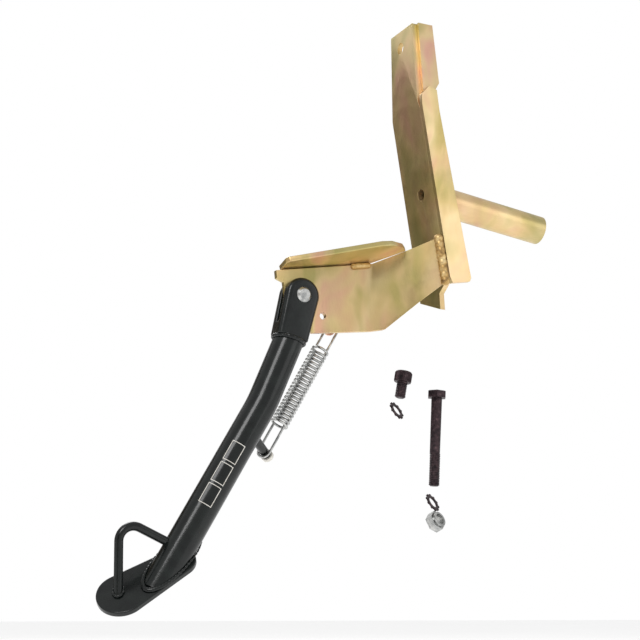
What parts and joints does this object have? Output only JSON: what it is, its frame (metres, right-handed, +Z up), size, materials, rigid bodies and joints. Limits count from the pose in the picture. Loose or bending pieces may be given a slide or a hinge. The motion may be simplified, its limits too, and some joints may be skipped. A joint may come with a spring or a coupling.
{
  "type": "scooter side stand",
  "caption": "Folding scooter side stand: plated mounting bracket with a cross tube, black tubular leg with a return spring, and loose mounting hardware.",
  "frame": {"origin": "centre of the upper frame hole, at the middle of the mounting post's thickness", "axes": "+Z up the mounting post, +X along the upper frame hole and towards the cross tube, +Y along the leg's pivot axis, away from the side the foot plate faces"},
  "size_m": [0.3459, 0.0684, 0.446],
  "materials": {
    "zinc": "yellow zinc plate",
    "black_paint": "gloss black paint",
    "bright_zinc": "bright zinc",
    "black_oxide": "black oxide",
    "peg_plastic": "pale cap"
  },
  "bodies": {
    "bracket": {"mounting_post": "zinc", "upper_lip": "zinc", "pivot_plate": "zinc", "support_flange": "zinc", "cross_tube": "zinc", "spring_anchor_peg": "zinc", "post_weld": "zinc", "flange_weld": "zinc", "tube_weld": "zinc", "hex_bolt": "black_oxide", "socket_screw": "black_oxide", "screw_lock_washer": "black_oxide", "bolt_lock_washer": "black_oxide", "lock_nut": "bright_zinc", "nut_insert": "bright_zinc"},
    "leg": {"clevis_head": "black_paint", "leg_tube": "black_paint", "foot_plate": "black_paint", "thumb_loop": "black_paint", "foot_weld": "black_paint", "loop_weld": "black_paint", "head_weld": "black_paint", "spring_peg": "black_paint", "peg_cap": "peg_plastic", "pivot_rivet": "bright_zinc"},
    "spring_upper": {"spring_coil": "bright_zinc", "spring_hook_upper": "bright_zinc"},
    "spring_lower": {"spring_hook_lower": "bright_zinc"}
  },
  "joints": [
    {"name": "leg_fold", "type": "hinge", "parent": "bracket", "child": "leg", "pos_m": [-0.087, 0.003, -0.206], "axis": [0, 1, 0], "range_deg": [0, 80], "stiffness_Nm_per_rad": 1, "springref_deg": -28.65, "deforming": ["spring_coil", "spring_hook_upper", "spring_hook_lower"]},
    {"name": "spring_swing", "type": "hinge", "parent": "bracket", "child": "spring_upper", "pos_m": [-0.0494, 0.0235, -0.2216], "axis": [0, 1, 0], "range_deg": [0, 65.2]},
    {"name": "spring_stretch", "type": "slide", "parent": "spring_upper", "child": "spring_lower", "axis": [-0.5021, 0, -0.8648], "range_m": [0, 0.0405]}
  ],
  "couplings": [
    {"joint": "spring_swing", "follows": "leg_fold", "ratio": 0.8137},
    {"joint": "spring_stretch", "follows": "leg_fold", "m_per_rad": 0.02893}
  ]
}
